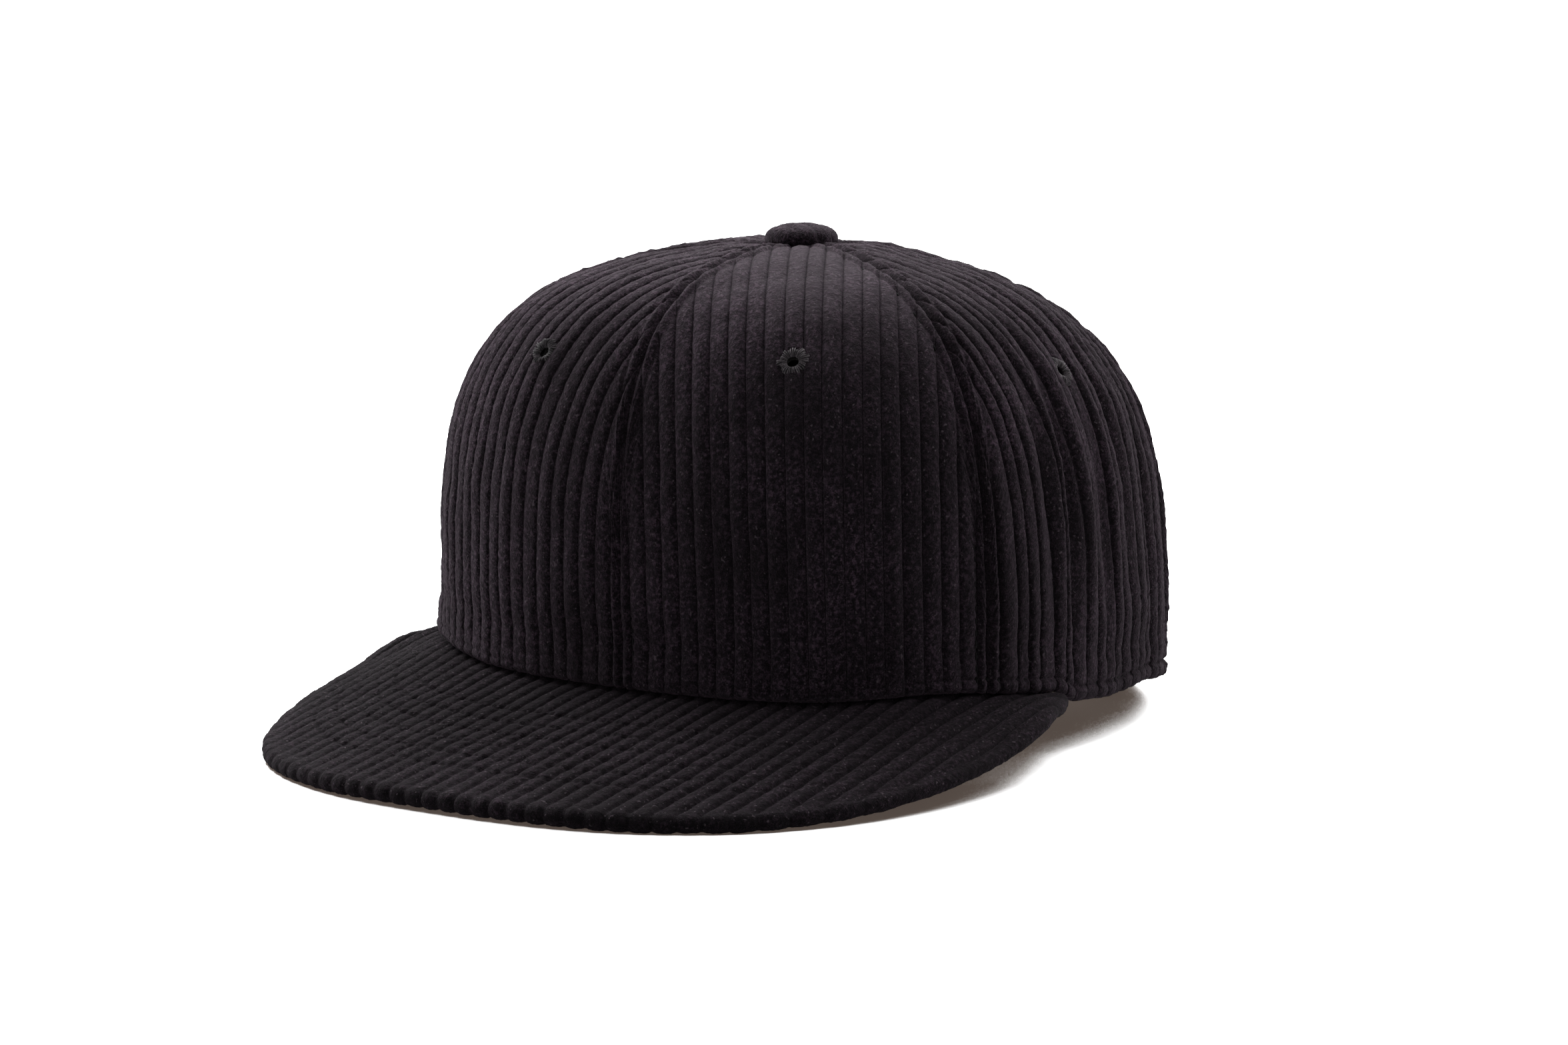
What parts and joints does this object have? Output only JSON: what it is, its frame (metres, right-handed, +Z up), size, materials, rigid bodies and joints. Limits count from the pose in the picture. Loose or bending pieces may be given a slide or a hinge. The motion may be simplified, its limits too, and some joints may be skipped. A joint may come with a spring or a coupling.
{
  "type": "bump cap",
  "caption": "Baseball-style bump cap: panelled wide-wale corduroy crown with vent eyelets and a covered button, flat visor, rear strap with clasp, removable vented impact insert.",
  "frame": {"origin": "on the surface the cap stands on, under the middle of its overall width and its visor-to-back length", "axes": "+Z up along the crown; -Y is the wearer's front, where the visor points; +X is the wearer's left"},
  "size_m": [0.2076, 0.2569, 0.1319],
  "materials": {
    "corduroy": "wide-wale cotton corduroy, charcoal black, soft pile sheen",
    "under_cloth": "plain-weave cotton, black",
    "thread": "satin-stitched polyester thread, dark grey",
    "lining": "woven cotton tape and twill lining, black",
    "visor_plastic": "plain moulded sheet",
    "button_metal": "stamped steel",
    "clasp_metal": "antique brass, brushed",
    "shell_plastic": "black moulded ABS, fine texture",
    "foam": "cloth-faced EVA foam",
    "hook_and_loop": "hook-and-loop fastener"
  },
  "bodies": {
    "insert": {"crown_pad": "foam", "front_pad": "foam", "hook_patch_front": "hook_and_loop", "hook_patch_rear": "hook_and_loop", "impact_shell": "shell_plastic", "left_pad": "foam", "rear_pad": "foam", "right_pad": "foam"},
    "cap": {"arch_binding": "lining", "back_left_eyelet": "thread", "back_left_panel": "corduroy", "back_right_eyelet": "thread", "back_right_panel": "corduroy", "buckle_frame": "clasp_metal", "buckle_tab": "corduroy", "button_cover": "corduroy", "button_former": "button_metal", "button_rivet": "button_metal", "button_washer": "button_metal", "clasp_pin": "clasp_metal", "front_left_eyelet": "thread", "front_left_panel": "corduroy", "front_left_stiffener": "lining", "front_right_eyelet": "thread", "front_right_panel": "corduroy", "front_right_stiffener": "lining", "loop_patch_front": "hook_and_loop", "loop_patch_rear": "hook_and_loop", "seam_tape_front": "lining", "seam_tape_front_left": "lining", "seam_tape_front_right": "lining", "seam_tape_rear": "lining", "seam_tape_rear_left": "lining", "seam_tape_rear_right": "lining", "side_left_eyelet": "thread", "side_left_panel": "corduroy", "side_right_eyelet": "thread", "side_right_panel": "corduroy", "sweatband": "lining", "visor_board": "visor_plastic", "visor_top_cover": "corduroy", "visor_under_cover": "under_cloth"},
    "strap": {"rear_strap": "corduroy"},
    "lever": {"clasp_lever": "clasp_metal"}
  },
  "joints": [
    {"name": "insert_slide", "type": "slide", "parent": "insert", "child": "cap", "axis": [0, 0, 1], "range_m": [0, 0.13]},
    {"name": "strap_slide", "type": "hinge", "parent": "cap", "child": "strap", "pos_m": [0, 0.0195, 0.012], "axis": [0, 0, -1], "range_deg": [-11, 11]},
    {"name": "clasp_lever", "type": "hinge", "parent": "cap", "child": "lever", "pos_m": [0.01594, 0.12474, 0.012], "axis": [0, 0, -1], "range_deg": [0, 110]}
  ]
}
